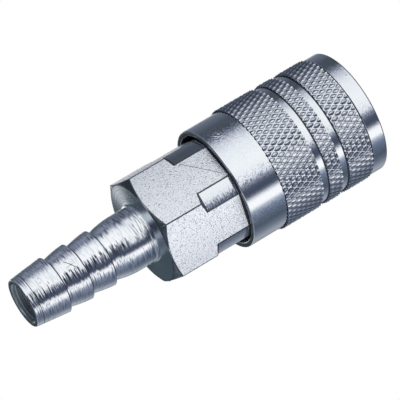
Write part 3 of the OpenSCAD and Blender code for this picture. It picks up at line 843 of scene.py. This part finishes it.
# Locking balls
# Six hardened steel balls, ground and polished. They sit loose in the front body's holes, behind the plug's collar.
BALL_COUNT = 6
ball_steel = metal_finish("ball_steel", (0.78, 0.79, 0.81), roughness=0.07, line_pitch=0.8, line_depth=0.0002,
                          grain_size=0.5, grain_depth=0.0006)
for index in range(BALL_COUNT):
    dress(nodes[f"locking_ball_{index + 1}"], ball_steel)

# Retaining ring
# A split ring of dark spring steel, snapped into the front body's groove. The sleeve rests against it.
ring_steel = metal_finish("ring_steel", (0.24, 0.24, 0.26), roughness=0.36, line_pitch=0.3, line_depth=0.002,
                          grain_size=0.12, grain_depth=0.003, around=True)
dress(nodes["retaining_ring"], ring_steel)

# Springs
# Both are wound from drawn steel wire, with a closed turn at each end. One pushes the sleeve forward, the other
# closes the valve.
SLEEVE_WIRE = 1.2
SLEEVE_COIL_R = 9.05
SLEEVE_COIL_TURNS = 6
SLEEVE_COIL_END_Z = 27
VALVE_WIRE = 0.7
VALVE_COIL_R = 4.9
VALVE_COIL_TURNS = 6
VALVE_COIL_Z = 29.25
WIRE_SIDES = 12
COIL_STEPS = 48
COIL_CLEAR = 0.02
WIRE_WELD = 0.005
# A closed turn rises by a little more than the wire's width
CLOSED_RISE = 1.02


def winding(start, pitch, turns, radius, wire):
    """Some turns of wire, wound from a round section."""
    bpy.ops.mesh.primitive_circle_add(vertices=WIRE_SIDES, radius=wire / 2000,
                                      location=(radius / 1000, 0, start / 1000), rotation=(math.radians(90), 0, 0))
    piece = bpy.context.object
    bpy.ops.object.transform_apply(location=True, rotation=True, scale=False)
    screw = piece.modifiers.new("winding", "SCREW")
    screw.steps = screw.render_steps = COIL_STEPS
    screw.iterations = turns
    screw.screw_offset = pitch / 1000
    bpy.ops.object.modifier_apply(modifier=screw.name)
    return piece


def coil_spring(name, low, high, radius, wire, turns):
    """A compression spring with a closed turn at each end."""
    closed = wire * CLOSED_RISE
    first = low + wire / 2 + COIL_CLEAR
    last = high - wire / 2 - COIL_CLEAR
    pitch = (last - first - 2 * closed) / (turns - 2)
    windings = [winding(first, closed, 1, radius, wire), winding(first + closed, pitch, turns - 2, radius, wire),
                winding(last - closed, closed, 1, radius, wire)]
    pick(*reversed(windings))
    bpy.ops.object.join()
    spring = bpy.context.object
    spring.name = name
    bpy.ops.object.mode_set(mode="EDIT")
    bpy.ops.mesh.select_mode(type="VERT")
    bpy.ops.mesh.select_all(action="SELECT")
    bpy.ops.mesh.remove_doubles(threshold=WIRE_WELD / 1000)
    bpy.ops.mesh.fill_holes(sides=WIRE_SIDES)
    bpy.ops.mesh.select_all(action="SELECT")
    bpy.ops.mesh.normals_make_consistent(inside=False)
    bpy.ops.object.mode_set(mode="OBJECT")
    bpy.ops.object.shade_smooth_by_angle(angle=math.radians(SMOOTH_UP_TO))
    return spring


wire_steel = metal_finish("wire_steel", (0.52, 0.53, 0.56), roughness=0.3, line_pitch=0.1, line_depth=0.0006,
                          grain_size=0.15, grain_depth=0.002)
sleeve_coil = coil_spring("sleeve_spring", SPRING_SEAT_Z, SLEEVE_COIL_END_Z, SLEEVE_COIL_R, SLEEVE_WIRE,
                          SLEEVE_COIL_TURNS)
sleeve_coil.data.materials.append(wire_steel)
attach(sleeve_coil, "sleeve_carrier")
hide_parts("sleeve_spring")
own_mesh(sleeve_coil)
valve_coil = coil_spring("valve_spring", VALVE_COIL_Z, SPRING_STOP_Z, VALVE_COIL_R, VALVE_WIRE, VALVE_COIL_TURNS)
valve_coil.data.materials.append(wire_steel)
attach(valve_coil, "socket")
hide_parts("valve_spring")
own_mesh(valve_coil)


# Seals
# The lip packing and the valve's O-ring are moulded from black rubber. The packing is pressed into its groove, and
# the O-ring closes on the front body's seat.
def soft_finish(name, colour, other_colour, roughness, patch, grain_size, grain_depth):
    """Moulded or pressed stuff without gloss, with faint patches and a fine grain."""
    material = bpy.data.materials.new(name)
    material.use_nodes = True
    tree = material.node_tree
    shader = tree.nodes["Principled BSDF"]
    link(tree, roughness, shader.inputs["Roughness"])
    place = tree.nodes.new("ShaderNodeTexCoord").outputs["Object"]
    tint(material, noise(tree, place, patch, 2), [(0.35, colour), (0.65, other_colour)])
    link(tree, bumped(tree, noise(tree, place, grain_size, 3), grain_depth / 1000), shader.inputs["Normal"])
    return material


rubber = soft_finish("black_rubber", (0.022, 0.022, 0.024), (0.04, 0.04, 0.042), roughness=0.5, patch=1.5,
                     grain_size=0.12, grain_depth=0.01)
dress(nodes["plug_seal"], rubber)
dress(nodes["valve_seal"], rubber)

# Gasket
# A flat ring punched from red-brown fibre sheet, pinched between the front body's tail and the adaptor.
fibre = soft_finish("red_fibre", (0.3, 0.09, 0.06), (0.2, 0.06, 0.045), roughness=0.8, patch=0.8,
                    grain_size=0.15, grain_depth=0.03)
dress(nodes["body_gasket"], fibre)

# Valve
# The poppet is turned from brass and left bare. Its drilled front tube meets the plug's nose, which pushes the valve
# open.
valve_brass = metal_finish("valve_brass", (0.8, 0.58, 0.27), roughness=0.22, line_pitch=0.3, line_depth=0.008,
                           grain_size=0.2, grain_depth=0.003)
dress(nodes["valve"], valve_brass)
